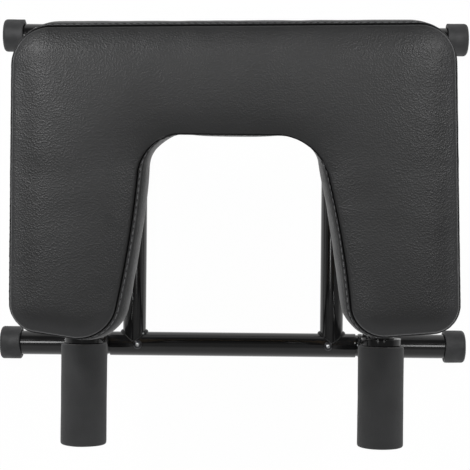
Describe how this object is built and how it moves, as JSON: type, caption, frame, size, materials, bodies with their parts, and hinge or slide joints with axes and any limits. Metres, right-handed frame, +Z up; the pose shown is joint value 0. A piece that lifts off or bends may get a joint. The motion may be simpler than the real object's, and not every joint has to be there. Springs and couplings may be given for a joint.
{
  "type": "headstand stool",
  "caption": "U-shaped padded stool on a tube frame: the neck fits between its arms, the shoulders rest on the pad and the hands hold two forward foam grips.",
  "frame": {"origin": "middle of the stool's outline in plan, at floor level", "axes": "+X to the right of someone facing the open end of the U, along the floor rails; +Y away from that person, towards the closed end of the U; +Z up"},
  "size_m": [0.545, 0.4748, 0.37],
  "materials": {
    "frame_paint": "satin",
    "end_cap": "matte",
    "fastener_steel": "satin",
    "bolt_black": "satin",
    "grip_foam": "matte",
    "collar_plastic": "satin",
    "seat_vinyl": "satin",
    "plywood": "matte"
  },
  "bodies": {
    "root": {"front_rail_centre": "frame_paint", "front_rail_left": "frame_paint", "front_rail_right": "frame_paint", "back_rail_centre": "frame_paint", "back_rail_left": "frame_paint", "back_rail_right": "frame_paint", "foot_cap_front_left": "end_cap", "foot_cap_front_right": "end_cap", "foot_cap_back_left": "end_cap", "foot_cap_back_right": "end_cap", "cross_tube_left": "frame_paint", "cross_tube_right": "frame_paint", "rail_bolt_front_left": "bolt_black", "rail_bolt_front_right": "bolt_black", "rail_bolt_back_left": "bolt_black", "rail_bolt_back_right": "bolt_black", "weld_nut_front_left": "fastener_steel", "weld_nut_front_right": "fastener_steel", "weld_nut_back_left": "fastener_steel", "weld_nut_back_right": "fastener_steel", "side_hoop_left": "frame_paint", "side_hoop_right": "frame_paint", "handle_tube_left": "frame_paint", "handle_tube_right": "frame_paint", "handle_collar_left": "collar_plastic", "handle_collar_right": "collar_plastic", "handle_grip_left": "grip_foam", "handle_grip_right": "grip_foam", "handle_plug_left": "collar_plastic", "handle_plug_right": "collar_plastic", "seat_cushion": "seat_vinyl", "seat_board": "plywood", "seat_bolt_front_left": "fastener_steel", "seat_bolt_front_right": "fastener_steel", "seat_bolt_back_left": "fastener_steel", "seat_bolt_back_right": "fastener_steel", "seat_washer_front_left": "fastener_steel", "seat_washer_front_right": "fastener_steel", "seat_washer_back_left": "fastener_steel", "seat_washer_back_right": "fastener_steel", "tee_nut_front_left": "fastener_steel", "tee_nut_front_right": "fastener_steel", "tee_nut_back_left": "fastener_steel", "tee_nut_back_right": "fastener_steel"}
  },
  "joints": []
}
